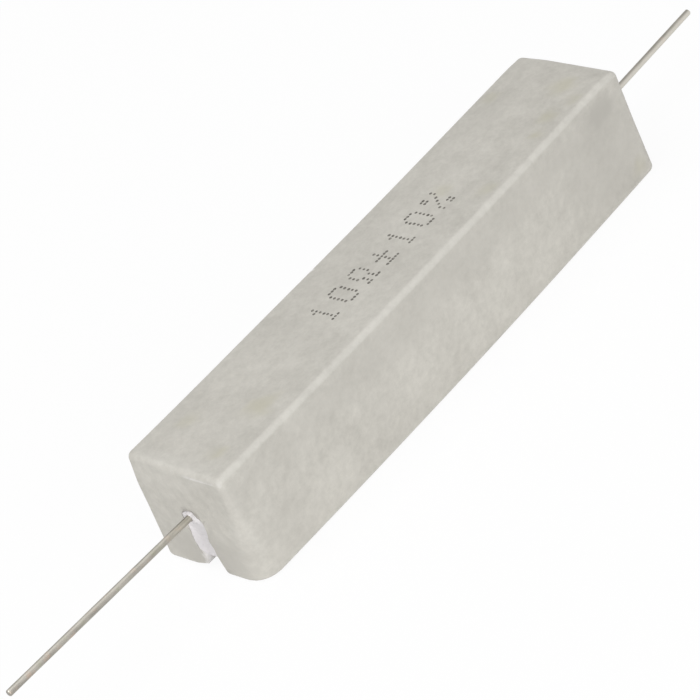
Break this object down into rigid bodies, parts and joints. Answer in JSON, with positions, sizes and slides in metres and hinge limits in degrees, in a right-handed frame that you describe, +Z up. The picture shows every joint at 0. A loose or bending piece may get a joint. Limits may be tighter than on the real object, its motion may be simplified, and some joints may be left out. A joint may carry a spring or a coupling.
{
  "type": "axial cement resistor",
  "caption": "Wirewound power resistor in a square ceramic case filled with cement, with a straight tinned lead at each end.",
  "frame": {"origin": "middle of the seat plane: the open rim and the cement struck off level with it, half way along the case", "axes": "+X along the case towards the right lead, +Z up to the printed face, +Y across the case"},
  "size_m": [0.101, 0.0126, 0.0122],
  "materials": {
    "fired_ceramic": "matt unglazed fired ceramic",
    "cement": "matt white cement",
    "core_ceramic": "ground white ceramic",
    "resistance_alloy": "drawn, lightly oxidised",
    "plated_steel": "pressed and plated",
    "tinned_copper": "dull tinned"
  },
  "bodies": {
    "root": {"ceramic_case": "fired_ceramic", "cement_filling": "cement", "core_rod": "core_ceramic", "resistance_wire": "resistance_alloy", "end_cap_left": "plated_steel", "end_cap_right": "plated_steel", "lead_left": "tinned_copper", "lead_right": "tinned_copper"}
  },
  "joints": []
}
